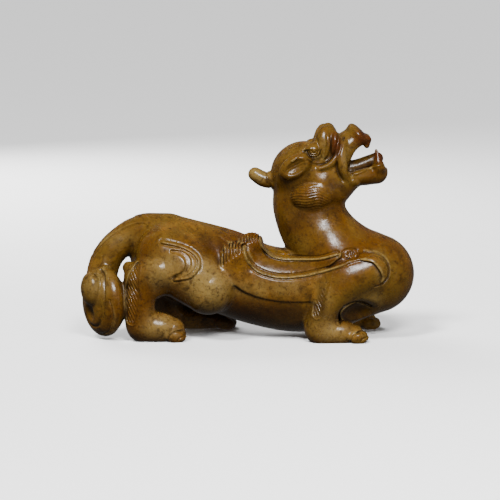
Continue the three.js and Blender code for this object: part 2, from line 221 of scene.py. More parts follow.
def egg(centre, radii, tilt=0, yaw=0):
    """An egg with its own x, y and z radii, turned in degrees: tilt lifts its +x end, and yaw swings
    that end away from the near flank."""
    turn = np.eye(3)
    for angle, axis in ((-tilt, "Y"), (yaw, "Z")):
        turn = turn @ np.array(Matrix.Rotation(np.radians(angle), 3, axis))
    centre = np.array(centre, float)
    reach = max(radii)

    def field(x, y, z):
        steps = (x - centre[0], y - centre[1], z - centre[2])
        unit = [sum(turn[i, axis] * steps[i] for i in range(3)) / radii[axis] for axis in range(3)]
        near = size(*unit)
        slope = size(*(u / r for u, r in zip(unit, radii)))
        return near * (near - 1) / np.maximum(slope, 1e-6)

    return boxed(centre - reach, centre + reach, field)


def smooth_rows(rows):
    """Points of a smooth curve (Catmull-Rom) through the rows."""
    rows = np.array(rows, float)
    rows = np.vstack([2 * rows[0] - rows[1], rows, 2 * rows[-1] - rows[-2]])
    t = np.arange(CURVE_STEPS)[:, None] / CURVE_STEPS
    path = []
    for a, b, c, d in zip(rows, rows[1:], rows[2:], rows[3:]):
        slope = t * (c - a) / 2
        bend = t**2 * (2 * a - 5 * b + 4 * c - d) / 2
        twist = t**3 * (3 * b - a - 3 * c + d) / 2
        path.append(b + slope + bend + twist)
    return np.vstack([*path, rows[-2]])


def swept(rows, measure, flat=False):
    """The form swept along rows of x, y, z and then its sizes there. measure() turns the distance from
    the middle line, y, the side (1 above a line that runs forward) and those sizes into a signed
    distance. Flat rows are seen from the side, and reach through the whole stone."""
    path = smooth_rows(rows)
    reach = path[:, 3:].max()
    low = path[:, :3].min(axis=0) - reach
    high = path[:, :3].max(axis=0) + reach
    if flat:
        low[1], high[1] = -np.inf, np.inf

    def field(x, y, z):
        nearest = np.full(x.shape, np.inf)
        side = np.zeros(x.shape)
        sizes = [np.zeros(x.shape) for _ in path[0, 3:]]
        for a, b in zip(path, path[1:]):
            along = (b - a)[:3]
            if flat:
                along[1] = 0
            px = x - a[0]
            pz = z - a[2]
            py = 0 if flat else y - a[1]
            t = np.clip((px * along[0] + py * along[1] + pz * along[2]) / (along @ along), 0, 1)
            away = size(px - along[0] * t, py - along[1] * t, pz - along[2] * t)
            closer = away < nearest
            nearest = np.where(closer, away, nearest)
            side = np.where(closer, np.sign(along[0] * pz - along[2] * px), side)
            sizes = [np.where(closer, u + (v - u) * t, s) for u, v, s in zip(a[3:], b[3:], sizes)]
        return measure(nearest, y, side, *sizes)

    return boxed(low, high, field)


def rounded(away, y, side, radius):
    return away - radius


def limb(rows):
    """Rows of x, y, z and radius along its middle."""
    return swept(rows, rounded)


def trunk(rows):
    """Rows of x, z, half thickness in the plane y = 0 and half width across it."""

    def measure(away, y, side, h, w):
        near = size(away / h, y / w)
        return near * (near - 1) / np.maximum(size(away / (h * h), y / (w * w)), 1e-6)

    return swept([(x, 0, z, h, w) for x, z, h, w in rows], measure, flat=True)


def stroke(rows):
    """A line or a broad stroke on a flank, seen from the side: rows of x, z and, if broad, half width."""
    rows = [(x, 0, z, *(half or [0])) for x, z, *half in rows]
    return swept(rows, rounded, flat=True)


def feather(rows):
    """A region seen from the side, below a line that runs forward: rows of x and z along the line, and
    how far the region reaches below it."""

    def measure(away, y, side, breadth):
        above = side * away
        return np.maximum(above, -above - breadth)

    return swept([(x, 0, z, breadth) for x, z, breadth in rows], measure, flat=True)


def lower_than(top, region):
    """The part of a region below a height."""
    return lambda x, y, z: np.maximum(region(x, y, z), z - top)


def apart(region, other):
    """The part of a region that lies outside another."""
    return lambda x, y, z: np.maximum(region(x, y, z), -other(x, y, z))


def grown(region, margin):
    return lambda x, y, z: region(x, y, z) - margin


def oval(x0, z0, half_x, half_z):
    """An ellipse seen from the side, with a rough distance to its outline."""
    return lambda x, y, z: (size((x - x0) / half_x, (z - z0) / half_z) - 1) * min(half_x, half_z)


def oval_line(x0, z0, half_x, half_z):
    inside = oval(x0, z0, half_x, half_z)
    return lambda x, y, z: np.abs(inside(x, y, z))


# Reliefs change the distance to a surface near what is drawn on a flank

RELIEF_REACH = 4.0  # further from the surface than this, reliefs are left out
EDGE_ROUNDING = 0.8  # of a layer
FOOT_ROUNDING = 0.5
FADE = 1.5


def dressed(stone, *reliefs):
    """Lays reliefs on a stone, one after another."""

    def field(x, y, z):
        d = stone(x, y, z)
        near = np.abs(d) < RELIEF_REACH
        if near.any():
            inner = d[near]
            spot = (x[near], y[near], z[near])
            for relief in reliefs:
                inner = relief(inner, *spot)
            d[near] = inner
        return d

    return field


def layers(*pairs):
    """Flat layers with crisp edges, side by side on the same stone: pairs of a region and its
    thickness, which changes from place to place."""

    def relief(d, x, y, z):
        raised = d
        for region, thickness in pairs:
            top = smooth_max(d - thickness(x, y, z), region(x, y, z), EDGE_ROUNDING)
            raised = smooth_min(raised, top, FOOT_ROUNDING)
        return raised

    return relief


def thinning(thickness, z_full, z_thin):
    """A thickness that falls to a third from one height down to another."""
    return lambda x, y, z: thickness * np.interp(z, [z_thin, z_full], [0.33, 1])


def layer(region, thickness):
    return layers((region, lambda x, y, z: thickness))


def ridge(line, width, height):
    """A rounded line that stands out, or is sunk in if its height is negative."""

    def relief(d, x, y, z):
        away = np.maximum(line(x, y, z), 0) / width
        return d - height * np.exp(-away * away)

    return relief


def bead(line):
    """A raised line between two fine grooves."""

    def beside(x, y, z):
        return np.abs(line(x, y, z) - 2 * RIM_WIDTH)

    raised = ridge(line, RIM_WIDTH, RIM_WIDTH)
    grooves = ridge(beside, RIM_WIDTH * 0.7, -RIM_WIDTH * 0.7)
    return lambda d, x, y, z: grooves(raised(d, x, y, z), x, y, z)


def furrows(region, across, spacing, depth, fade=0.8):
    """Fine furrows side by side in a region: across() measures from one to the next."""

    def relief(d, x, y, z):
        inside = np.clip(-region(x, y, z) / fade, 0, 1)
        wave = 0.5 + 0.5 * np.cos(2 * np.pi * across(x, y, z) / spacing)
        return d + depth * inside * wave * wave

    return relief


def outside(inner, relief):
    """A relief that only reaches what is further than inner from the middle of the animal."""

    def faded(d, x, y, z):
        share = np.clip((np.abs(y) - inner) / FADE, 0, 1)
        return d + (relief(d, x, y, z) - d) * share

    return faded


def slanted(along_x, along_z):
    """Measures across straight lines, by how far the measure grows along x and z."""
    return lambda x, y, z: x * along_x + z * along_z


# Trunk of the animal


def torso():
    body = trunk([
        (-31, 32.4, 14.8, 13.5),
        (-20, 29.2, 15.2, 14.5),
        (-8, 24.6, 16.3, 15.5),
        (5, 19.8, 15.8, 16.5),
        (18, 17.9, 16.4, BELLY_HALF_WIDTH),
        (31, 20, 17.5, 18),
        (42, 22.6, 16.2, 17.5),
        (CHEST.x, CHEST.z, CHEST_RADIUS, 15.5),
    ])
    neck = trunk([
        (36, 26, 14, 17.5),
        (31.6, 34, 14, 15.8),
        (26.1, 43, 13.9, 12.2),
        (23.4, 51, 13.4, NECK_HALF_WIDTH),
        (22, 60, 12, NECK_HALF_WIDTH - 1),
    ])
    throat = trunk([
        (33, 34.3, 12, 14),
        (40, 32, 11.7, 14.5),
        (45, 30.5, 11.2, 14),
    ])
    armpit = paired(egg((45, -19, 8.6), (10, 11, 7.6), tilt=-14))
    return blend(1.6, carve(1.6, body, armpit), blend(4.5, neck, throat))


def back_lines():
    """A low ridge along the spine and another down the nape."""
    spine = limb([
        (-38, 0, 46.8, 0.4),
        (-30, 0, 46.7, 0.7),
        (-21, 0, 44.4, 0.9),
        (-5, 0, 40.2, 0.9),
        (6, 0, 35.2, 0.8),
        (12, 0, 33.2, 0.5),
    ])
    nape = limb([
        (18, 0, 33, 0.4),
        (14, 0, 40, 0.8),
        (11, 0, 49, 1),
        (10.8, 0, 57, 0.8),
    ])
    return blend(0.8, spine, nape)


# Wings


def near_spot(x, y, z):
    """The spot of the near flank's wing that matches one on either flank. The far wing is lower."""
    return x, -np.abs(y), np.where(y > 0, z + FAR_WING_DROP, z)


def on_both_wings(form):
    return lambda x, y, z: form(*near_spot(x, y, z))


def wing_relief(inner, relief):
    return outside(inner, lambda d, x, y, z: relief(d, *near_spot(x, y, z)))


def winged(stone):
    """Two long feathers on each flank, each with a bead along its upper edge and a combed, curled tip."""
    upper_edge = [
        (5, 39.4, 5),
        (5.8, 36.1, 8),
        (8.6, 33.1, 8),
        (13.2, 31.7, 8),
        (20.1, 31.6, 8),
        (27, 32.2, 5),
        (34, 34.2, 2),
    ]
    lower_edge = [
        (-1.2, 36.4, 8),
        (-0.7, 33.8, 10),
        (0.9, 30.4, 10),
        (4.7, 27.3, 9.6),
        (11.6, 25.4, 9.4),
        (20, 25.8, 10.2),
        (28.4, 27.7, 11),
        (36.1, 30.3, 10),
        (39, 31.6, 6),
        (43, 32.6, 2),
    ]
    upper_feather = apart(lower_than(40.2, feather(upper_edge)), feather(lower_edge))
    upper_line = stroke([(x, z) for x, z, breadth in upper_edge])
    lower_line = stroke([(x, z) for x, z, breadth in lower_edge])
    upper_comb = stroke([
        (-2.4, 38.2, 0.8),
        (0, 39.5, 1.9),
        (3, 40, 1.9),
        (5, 39.2, 0.8),
    ])
    lower_comb = stroke([
        (-9.4, 30.2, 0.8),
        (-7.8, 33.6, 2.4),
        (-5, 35.9, 2.6),
        (-2, 36.2, 1.4),
    ])
    upper_tip = egg((1.6, -8.6, 37.4), (4.8, 3.6, 4.2))
    lower_tip = egg((-4.6, -11.6, 32.4), (5.4, 4.4, 5.4))
    feathers = layers(
        (upper_feather, thinning(WING_THICKNESS, 34, 24)),
        (lower_than(37, feather(lower_edge)), thinning(WING_THICKNESS * 1.6, 27, 15)),
    )
    return dressed(
        blend(2.2, stone, on_both_wings(upper_tip), on_both_wings(lower_tip)),
        wing_relief(5, feathers),
        wing_relief(5, bead(upper_line)),
        wing_relief(7, bead(lower_line)),
        wing_relief(5, furrows(upper_comb, upper_line, spacing=1.1, depth=0.36)),
        wing_relief(7, furrows(lower_comb, lower_line, spacing=1.15, depth=0.5)),
    )


def combed_back(stone):
    """Short fine strokes beside the spine, in front of the hips."""
    strokes = [
        stroke([(-11.8, 43.3), (-6.9, 40)]),
        stroke([(-10.6, 41.2), (-4.9, 37.4)]),
        stroke([(-10.8, 40.3), (-6.4, 37.4)]),
    ]
    return dressed(stone, *[outside(2.5, ridge(line, width=0.35, height=0.3)) for line in strokes])


def rosette(stone):
    """A small half rosette carved where the upper wing meets the shoulder."""
    outline = oval_line(39.3, 34.1, 3.1, 1.9)
    petals = oval(39.3, 34.1, 2.3, 1.2)
    return dressed(
        stone,
        outside(8, ridge(outline, width=0.3, height=-0.35)),
        outside(8, furrows(petals, slanted(1, 0.2), spacing=1.1, depth=0.3, fade=0.3)),
    )


# Legs


def toes(x, stance):
    """The toes at the front of a near paw, with the longest reaching 3.3 mm past x."""
    spread = (-3.9, -1.4, 1.2, 3.8)
    eggs = []
    for i, across in enumerate(spread):
        middle = (x - abs(i - 1.4) * 0.7, across - stance, 2.1)
        eggs.append(egg(middle, (3.6, 1.5, 2.4), tilt=-6, yaw=-across * 2))
    return blend(0.4, *eggs)


def claws(x, stance):
    """Fine cuts between the toes, seen on the outer side of a paw."""
    long_cut = stroke([
        (x - 3.8, 0.8),
        (x - 3, 2.8),
        (x - 1, 4.2),
        (x + 1.6, 4.4),
    ])
    short_cut = stroke([
        (x - 0.2, 0.6),
        (x + 0.8, 1.9),
        (x + 2.8, 2.4),
    ])
    return [
        outside(stance, ridge(long_cut, width=0.35, height=-0.45)),
        outside(stance, ridge(short_cut, width=0.35, height=-0.4)),
    ]


def fringe(rows):
    """Hair along the back of a leg: a sunk strip with fine slanting strokes and a rim around it."""
    region = stroke(rows)

    def rim(x, y, z):
        return np.abs(region(x, y, z) - 0.5)

    return [
        outside(9, ridge(region, width=0.5, height=-0.35)),
        outside(9, furrows(region, slanted(0.9, 0.42), spacing=1.05, depth=0.3, fade=0.6)),
        outside(9, ridge(rim, width=0.35, height=0.3)),
    ]


def hind_leg():
    thigh = limb([
        (-31.5, -8, 32.6, 11.6),
        (-23.5, -10, 27.2, 12.4),
        (-15.2, -12, 20.6, 10.5),
    ])
    shank = limb([
        (-36, -12, 25, 8.6),
        (-41, -14, 18, 6.2),
        (-41.2, -14, 8, 5.7),
    ])
    foot = limb([
        (-40.6, -HIND_STANCE, 5, 5.6),
        (-34, -HIND_STANCE, 5.2, 5.9),
        (-29, -HIND_STANCE, 4.2, 4.9),
    ])
    calf = limb([
        (-40.5, -13.5, 24.4, 7),
        (-34.5, -15, 27, 6.9),
        (-30.4, -15.2, 28, 6.4),
    ])
    fringe_back = limb([
        (-45.6, -12.5, 28.4, 2.4),
        (-44.6, -12.5, 25, 2),
        (-45.9, -13, 20, 2.2),
        (-46, -13, 12, 1.9),
    ])
    leg = blend(1, blend(2.2, thigh, shank, foot), calf, toes(-26.8, HIND_STANCE), fringe_back)
    hair = fringe([
        (-41.8, 30, 0.6),
        (-43.4, 25, 1.8),
        (-44, 18, 2.4),
        (-44.4, 9, 1.6),
    ])
    return dressed(leg, *claws(-26.8, HIND_STANCE), *hair)


def fore_leg():
    arm = limb([
        (46, -11, 27, 9),
        (38, -13.5, 23.2, 7.8),
        (31, -15.2, 15, 6.2),
        (27.4, -STANCE, 6.5, 5.8),
    ])
    foot = limb([
        (28, -STANCE, 3.8, 5.4),
        (36.6, -STANCE, 3.6, 4.8),
        (40.5, -STANCE, 3, 3.9),
    ])
    leg = blend(1, blend(2.2, arm, foot), toes(43.1, STANCE))
    hair = fringe([
        (31.4, 28.6, 0.3),
        (29.6, 23.6, 1.3),
        (27.6, 18, 1.6),
        (26.4, 11.4, 1.2),
    ])
    return dressed(leg, *claws(43.1, STANCE), *hair)


def far_hind_leg():
    """The far hind leg, bent less and set further forward."""
    thigh = limb([
        (-33, 8, 32, 12.5),
        (-24, 10, 24, 12.8),
        (-10, 13, 18.6, 8.7),
    ])
    shank = limb([
        (-33, 13, 25.5, 7.6),
        (-34, 15, 18, 7.4),
        (-31, 16, 8, 6.6),
    ])
    foot = limb([
        (-33, 16, 4.4, 5.4),
        (-14, 16, 3.6, 4.5),
        (-10, 16, 3, 3.9),
    ])
    return blend(2, thigh, shank, foot, shifted(toes(-26.6, 16), 19))


def scrolled(stone):
    """Crescents carved around the thigh and the shoulder."""
    thigh_outer = stroke([
        (-32.5, 38.9),
        (-26.4, 37.7),
        (-21.4, 35.6),
        (-18.6, 32.6),
        (-18.9, 29.1),
        (-22, 26.2),
        (-27.6, 24.9),
    ])
    thigh_inner = stroke([
        (-28.8, 35.6, 0.1),
        (-25, 34.9, 0.4),
        (-22.8, 32.8, 0.7),
        (-22.6, 30.1, 0.7),
        (-24.4, 27.6, 0.4),
        (-28, 26, 0.1),
    ])
    shoulder = stroke([
        (43.3, 32.3, 0.3),
        (47.6, 32.4, 1.2),
        (50.3, 30.8, 1.8),
        (51.9, 28.2, 1.7),
        (52, 25.5, 1.1),
        (50.8, 23.4, 0.2),
    ])
    shoulder_line = stroke([
        (48.4, 21.8),
        (51.2, 22.6),
        (53.4, 24.8),
        (54, 28.1),
        (52.6, 31.6),
        (49, 34),
        (44.4, 34.8),
    ])
    armpit_edge = stroke([
        (35.4, 7.4),
        (34.9, 11.4),
        (37.2, 14.4),
        (40.8, 15.6),
        (44.2, 14.6),
        (47.4, 13),
    ])
    return dressed(
        stone,
        outside(8, bead(thigh_outer)),
        outside(8, ridge(thigh_inner, width=0.45, height=-0.7)),
        outside(6, layer(shoulder, 1.1)),
        outside(6, ridge(shoulder_line, width=0.35, height=-0.45)),
        outside(6, ridge(armpit_edge, width=0.4, height=-0.6)),
    )


# Tail


def tail():
    stem = limb([
        (-31, 0, 40.4, 7.2),
        (-40, 0, 40.3, 7.4),
        (-47.2, -0.6, 38, TAIL_RADIUS + 0.3),
        (-53.2, -2, 32.8, TAIL_RADIUS),
        (-56.2, -3.5, 25.6, TAIL_RADIUS),
        (-56.4, -5, 18, TAIL_RADIUS),
    ])
    lower_line = stroke([
        (-37.7, 40.7),
        (-38, 42.7),
        (-40.3, 44.4),
        (-45.4, 43.4),
        (-51.2, 40.3),
        (-56.2, 36.1),
        (-60.1, 31),
    ])
    upper_line = stroke([
        (-44, 46.4),
        (-48, 45),
        (-53, 41.2),
        (-57.4, 36.6),
        (-60, 32),
    ])
    return dressed(
        stem,
        ridge(lower_line, width=0.35, height=-0.4),
        ridge(upper_line, width=0.35, height=-0.3),
    )


def coil():
    """The end of the tail, rolled into a scroll: drawn as a disc that faces -y, then turned."""
    disc = egg((0, 0, 0), (11.5, 6.6, 13.6))
    knob = egg((0.6, -6.4, 5.6), (4.6, 3.6, 6.4))
    pit = egg((-1, -7.6, -4.2), (3.2, 2.8, 4))
    inner_turn = stroke([
        (1, 12.4),
        (4.6, 10.4),
        (6.8, 5.5),
        (7, -1.5),
        (5, -6.4),
        (1.6, -9),
        (-2.6, -8.6),
        (-4.6, -5.4),
    ])
    outer_turn = stroke([
        (9.2, 2),
        (9.8, -2),
        (9, -6),
        (5.8, -10.6),
        (1, -12.4),
    ])
    scroll = dressed(
        blend(0.8, carve(0.8, disc, pit), knob),
        ridge(inner_turn, width=0.5, height=-0.7),
        ridge(outer_turn, width=0.35, height=-0.4),
    )
    return turned(scroll, (-55.4, -9, 14.7), COIL_YAW)


# Head


def head():
    skull = egg((20.5, 0, 64.8), (12, HEAD_HALF_WIDTH, 10.6), tilt=35)
    cheek = egg((28.2, 0, 60.2), (10.6, HEAD_HALF_WIDTH, 9.6), tilt=20)
    jowl = paired(egg((26.6, -5.6, 56.6), (9.6, 6.6, 6.4), tilt=10))
    mass = mouthed(blend(2.5, skull, cheek, lower_jaw(), snout()))
    face = blend(0.9, mass, jowl, brows(), folds(), ears(), beard(), horn())
    return dressed(face, *face_lines())


def horn():
    """The short knob at the back of the skull, with a ring cut around its foot."""
    stem = limb([
        (10, 0, 60.8, 3.5),
        (6, 0, 61.2, 3.1),
        (2.9, 0, 63, 2.7),
    ])
    foot = stroke([
        (7.2, 65.4),
        (7.6, 62),
        (9, 57.8),
    ])
    return dressed(stem, ridge(foot, width=0.35, height=-0.4))


def snout():
    block = trunk([
        (31, 67, 9, 9.5),
        (37, 72.6, 6.6, 8),
        (41, 76.4, 5.2, 6.4),
        (44, 79.4, 5, 6),
    ])
    nose = egg((43.2, 0, 78.7), (3.2, 6.6, 5.4), tilt=45)
    nostril = paired(egg((46.4, -3.4, 77.6), (1.1, 1.2, 1.1)))

    def beyond_the_nose(x, y, z):
        return -(x + z - 123.9) / np.sqrt(2)

    return carve(0.6, carve(2.6, blend(1.5, block, nose), beyond_the_nose), nostril)


def lower_jaw():
    return trunk([
        (33, 58, 8, 10),
        (41, 62, 4.4, 8.4),
        (46, 63, 4.2, 7.2),
        (49.6, 63.8, 4.6, 5.6),
    ])


def mouthed(stone):
    """Opens the mouth and sets the tongue and the teeth in it."""
    gap = stroke([
        (39.9, 65.8, 1.4),
        (44.5, 69.6, 4.4),
        (50, 71, 5),
        (60, 72, 7),
    ])
    throat = egg((44, 0, 66.5), (6, 4.6, 3.2), tilt=12)
    tongue = limb([
        (38, 0, 64.8, 3.2),
        (43, 0, 66, 3.1),
        (50, 0, 69.2, 2.4),
    ])
    lower_fangs = paired(limb([
        (50.4, -4, 66, 2.6),
        (49.8, -3.6, 72, 0.5),
    ]))
    upper_fangs = paired(limb([
        (45.8, -3.8, 76.6, 1.8),
        (45.8, -4, 74.5, 1.1),
    ]))
    return blend(0.9, carve(0.8, stone, gap, throat), tongue, lower_fangs, upper_fangs)


def brows():
    """The raised brows, each with a curled lobe behind it and the eyeball before it."""
    brow = egg((30, -5, 74.6), (4.4, 4.6, 8.1), tilt=-12)
    leaf = egg((28.4, -6.8, 75.2), (3, 3.4, 6.8), tilt=-7)
    edge = limb([
        (29.4, -7, 81, 0.4),
        (30.4, -9.2, 78.6, 0.8),
        (30.6, -10, 75, 0.9),
        (29.8, -9.7, 71.6, 0.8),
        (28.2, -8.8, 69.4, 0.4),
    ])
    ball = egg((33.2, -6.6, 75.2), (2.3, 3.8, 5.4), tilt=-4)
    lobe = egg((25.2, -8.4, 72.8), (3.3, 3, 3.3))
    return paired(blend(0.5, blend(1.2, brow, lobe, leaf), edge, ball))


def ears():
    leaf = egg((18.2, -10.8, 67.1), (6.9, 3.4, 4.3), tilt=33, yaw=4)
    hollow = egg((18.3, -14.4, 67), (5.4, 2.2, 2.9), tilt=33, yaw=4)
    return paired(carve(0.6, leaf, hollow))


def beard():
    lock = paired(egg((24.6, -9.4, 55.8), (8, 4, 5.4), tilt=4))

    def across(x, y, z):
        wave = 0.5 * np.sin(x / 1.6)
        sag = 0.03 * (x - 24) ** 2
        return z + wave + sag

    return dressed(lock, furrows(grown(lock, 1), across, spacing=1.1, depth=0.26, fade=1.6))


def folds():
    """The folds of skin between the eye and the corner of the mouth."""
    cheek = limb([
        (35.6, -6.4, 77.6, 0.6),
        (35.9, -6.8, 75.6, 1),
        (35.2, -7.6, 73, 1.3),
        (33.6, -8.6, 70.2, 1.5),
        (30.8, -9.5, 67.4, 1.4),
        (27.4, -10.2, 66.2, 0.8),
    ])
    mouth = limb([
        (37.6, -5.4, 77.4, 0.4),
        (36.6, -7, 74.6, 1.2),
        (35.9, -8.2, 70.4, 1.9),
        (36.6, -8.6, 65.6, 2),
        (38.8, -7.8, 61.8, 1.6),
        (41.8, -7.2, 60.4, 1),
    ])
    return paired(blend(1.2, cheek, mouth))


def face_lines():
    leaf_groove = stroke([
        (27.6, 80.4),
        (26.9, 76.6),
        (27.3, 73),
        (28.4, 70),
    ])
    lid = stroke([
        (33.8, 82),
        (34.6, 79.7),
        (34.2, 76.2),
        (33.2, 72.4),
        (31.4, 69.4),
        (28.6, 67.8),
        (25.4, 67.8),
        (22.8, 69.6),
    ])
    fold_groove = stroke([
        (36.8, 77.4),
        (35.8, 74.4),
        (34.2, 69.6),
        (34.3, 65.2),
        (36.2, 61.4),
    ])
    corner = stroke([
        (39.4, 68.1),
        (38.4, 64.6),
        (39.8, 61.8),
    ])
    lower_lip = stroke([
        (40.8, 63.9),
        (42.4, 64.3),
        (45.4, 65.5),
        (48.5, 66.6),
        (51.6, 67.4),
    ])
    hair = stroke([
        (17, 69.4),
        (19.2, 71.4),
        (21.3, 73.2),
        (23.6, 74.1),
    ])
    curls = []
    for reach in (0.9, 1.8, 2.7):
        diagonal = 0.7 * reach
        curls.append(stroke([
            (25.2 - reach, 73.2),
            (25.2 - diagonal, 73.2 - diagonal),
            (25.2, 73.2 - reach),
            (25.2 + diagonal, 73.2 - diagonal),
            (25.2 + reach, 73.2),
        ]))
    crest = [stroke([(x, 74.6), (x + 0.9, 76.2), (x + 1.6, 77.6)]) for x in (15.6, 17.2, 18.8)]
    jowl_edge = stroke([
        (17.6, 51),
        (22.4, 49),
        (27.2, 48.2),
        (32, 49),
        (36.4, 50.8),
    ])
    ear_hollow = paired(egg((18.2, -10.6, 67), (4.8, 4.4, 2.4), tilt=33, yaw=6))
    return [
        outside(3, ridge(leaf_groove, width=0.4, height=-0.2)),
        outside(3, ridge(lid, width=0.4, height=-0.45)),
        outside(4, ridge(fold_groove, width=0.45, height=-0.3)),
        outside(3, ridge(corner, width=0.4, height=-0.4)),
        outside(3, ridge(lower_lip, width=0.6, height=0.6)),
        outside(5, ridge(hair, width=0.5, height=0.35)),
        furrows(ear_hollow, slanted(-0.45, 0.9), spacing=1.1, depth=0.15),
        outside(5, ridge(jowl_edge, width=0.6, height=-0.5)),
        *[outside(5, ridge(line, width=0.3, height=-0.4)) for line in curls],
        *[outside(3, ridge(line, width=0.3, height=-0.35)) for line in crest],
    ]


# Whole carving


def beast():
    fore = fore_leg()
    legs = blend(3, hind_leg(), fore, far_hind_leg(), shifted(fore, FAR_FORE_STEP))
    body = blend(2, winged(torso()), legs)
    stone = blend(1.6, rosette(scrolled(combed_back(body))), tail(), coil(), head())
    stone = blend(0.6, stone, back_lines())
    return lambda x, y, z: smooth_max(stone(x, y, z), -z, 0.3)


# Mesh


def measured(field, points):
    """The field at many points, worked out in parallel in lots of about 40,000 that lie close together."""
    lots = np.array_split(points, max(len(points) // 40_000, 1))
    with ThreadPoolExecutor(WORKERS) as pool:
        return np.concatenate(list(pool.map(lambda lot: field(*np.array(lot.T, float)), lots)))


def lattice_distances(field, low, high, cell):
    """The field on a lattice, worked out near the surface. Elsewhere only its sign is kept."""
    side = BLOCK * cell
    band = BAND * cell
    blocks = np.ceil((high - low) / side).astype(int)
    corners = np.stack(np.meshgrid(*[np.arange(n) for n in blocks], indexing="ij"), axis=-1)
    corners = corners.reshape(-1, 3)
    middles = measured(field, low + (corners + 0.5 - 0.5 / BLOCK) * side)  # of the blocks
    near = np.abs(middles) < BLOCK_REACH * side
    values = np.where(middles < 0, -band, band)
    values = np.repeat(values[:, None], BLOCK**3, axis=1)
    steps = np.stack(np.meshgrid(*[np.arange(BLOCK)] * 3, indexing="ij"), axis=-1).reshape(-1, 3)
    nodes = (corners[near][:, None] * BLOCK + steps[None]).reshape(-1, 3)
    values[near] = measured(field, low + nodes * cell).reshape(-1, BLOCK**3)
    values = np.clip(values, -band, band).reshape(*blocks, BLOCK, BLOCK, BLOCK)
    return values.transpose(0, 3, 1, 4, 2, 5).reshape(blocks * BLOCK)


def surface(field, low, high, cell):
    """The corners and four-sided faces of the surface."""
    grid = openvdb.FloatGrid(BAND * cell)
    grid.copyFromArray(lattice_distances(field, low, high, cell).astype(np.float32))
    points, _, quads = grid.convertToPolygons(0.0, 0.0)
    return low + points * cell, quads


def mesh_object(name, points, quads):
    mesh = bpy.data.meshes.new(name)
    mesh.vertices.add(len(points))
    mesh.vertices.foreach_set("co", (points / MILLIMETRES).astype(np.float32).ravel())
    mesh.loops.add(quads.size)
    mesh.loops.foreach_set("vertex_index", quads.ravel().astype(np.int32))
    mesh.polygons.add(len(quads))
    mesh.polygons.foreach_set("loop_start", np.arange(0, quads.size, 4, dtype=np.int32))
    mesh.update(calc_edges=True)
    made = bpy.data.objects.new(name, mesh)
    bpy.context.scene.collection.objects.link(made)
    return made


def thinned(made, triangles):
    """Fewer faces where the surface is plain."""
    modifier = made.modifiers.new("thin", "DECIMATE")
    modifier.ratio = min(triangles / (2 * len(made.data.polygons)), 1)
    ready = made.evaluated_get(bpy.context.evaluated_depsgraph_get())
    made.data = bpy.data.meshes.new_from_object(ready)
    made.modifiers.clear()


def centred(made):
    """Moves the middle of the carving's box over the origin."""
    low, high = np.array([made.bound_box[0], made.bound_box[6]])
    middle = (low + high) / 2
    made.data.transform(Matrix.Translation((-middle[0], -middle[1], 0)))


def gradient(field, points):
    """The direction out of the stone at points of its surface, by the distances a step away on four
    sides."""
    step = 0.12
    corners = np.array([(1, -1, -1), (-1, -1, 1), (-1, 1, -1), (1, 1, 1)])
    slope = sum(corner * measured(field, points + corner * step)[:, None] for corner in corners)
    return slope / np.linalg.norm(slope, axis=1, keepdims=True)


def keep(made, name, values):
    """Keeps a number for each point of the mesh, for the material to read."""
    made.data.attributes.new(name, "FLOAT", "POINT").data.foreach_set("value", values.astype(np.float32))


def patches(points, rows):
    """How far each point lies inside soft round patches: rows of centre, radii and strength."""
    total = np.zeros(len(points))
    for centre, radii, strength in rows:
        away = np.linalg.norm((points - centre) / radii, axis=1)
        total += strength * np.exp(-away * away)
    return total


def closeness(field, points, outward, step):
    """0 where the surface is flat, and up to 1 where it closes in around a point this far out of the
    stone, or around one inside it if the step is negative."""
    return np.clip(1 - measured(field, points + outward * step) / step, 0, 1)


def stained_and_shaded(made, field):
    """Works out, for the material, where the stone is recessed or raised and how its colour changes: dirt
    and painted shade in the recesses, wear and painted highlights on raised edges, and patches of other
    colours, of painted highlights and of painted shade.
    """
    points = np.empty(len(made.data.vertices) * 3)
    made.data.vertices.foreach_get("co", points)
    points = points.reshape(-1, 3) * MILLIMETRES
    outward = gradient(field, points)
    made.data.normals_split_custom_set_from_vertices(outward)
    # Painted shade and dirt: how far the surface closes in around each point, near it and further out
    fine = closeness(field, points, outward, 0.7)
    broad = closeness(field, points, outward, 3.5)
    keep(made, "recess", fine + broad * 0.8)
    # Raised edges, painted paler: wear and a painted highlight
    keep(made, "wear_and_highlight", closeness(field, points, outward, -0.9))
    keep(made, "pale", patches(points, PALE_AND_LIT_PATCHES))
    keep(made, "dark", patches(points, DARK_AND_SHADED_PATCHES))
    keep(made, "russet", patches(points, RUSSET_PATCHES))


def carve_beast():
    field = beast()
    made = mesh_object("jade_beast", *surface(field, LATTICE_LOW, LATTICE_HIGH, CELL))
    thinned(made, TRIANGLES)
    made.data.shade_smooth()
    stained_and_shaded(made, field)
    centred(made)
    return made


# Material


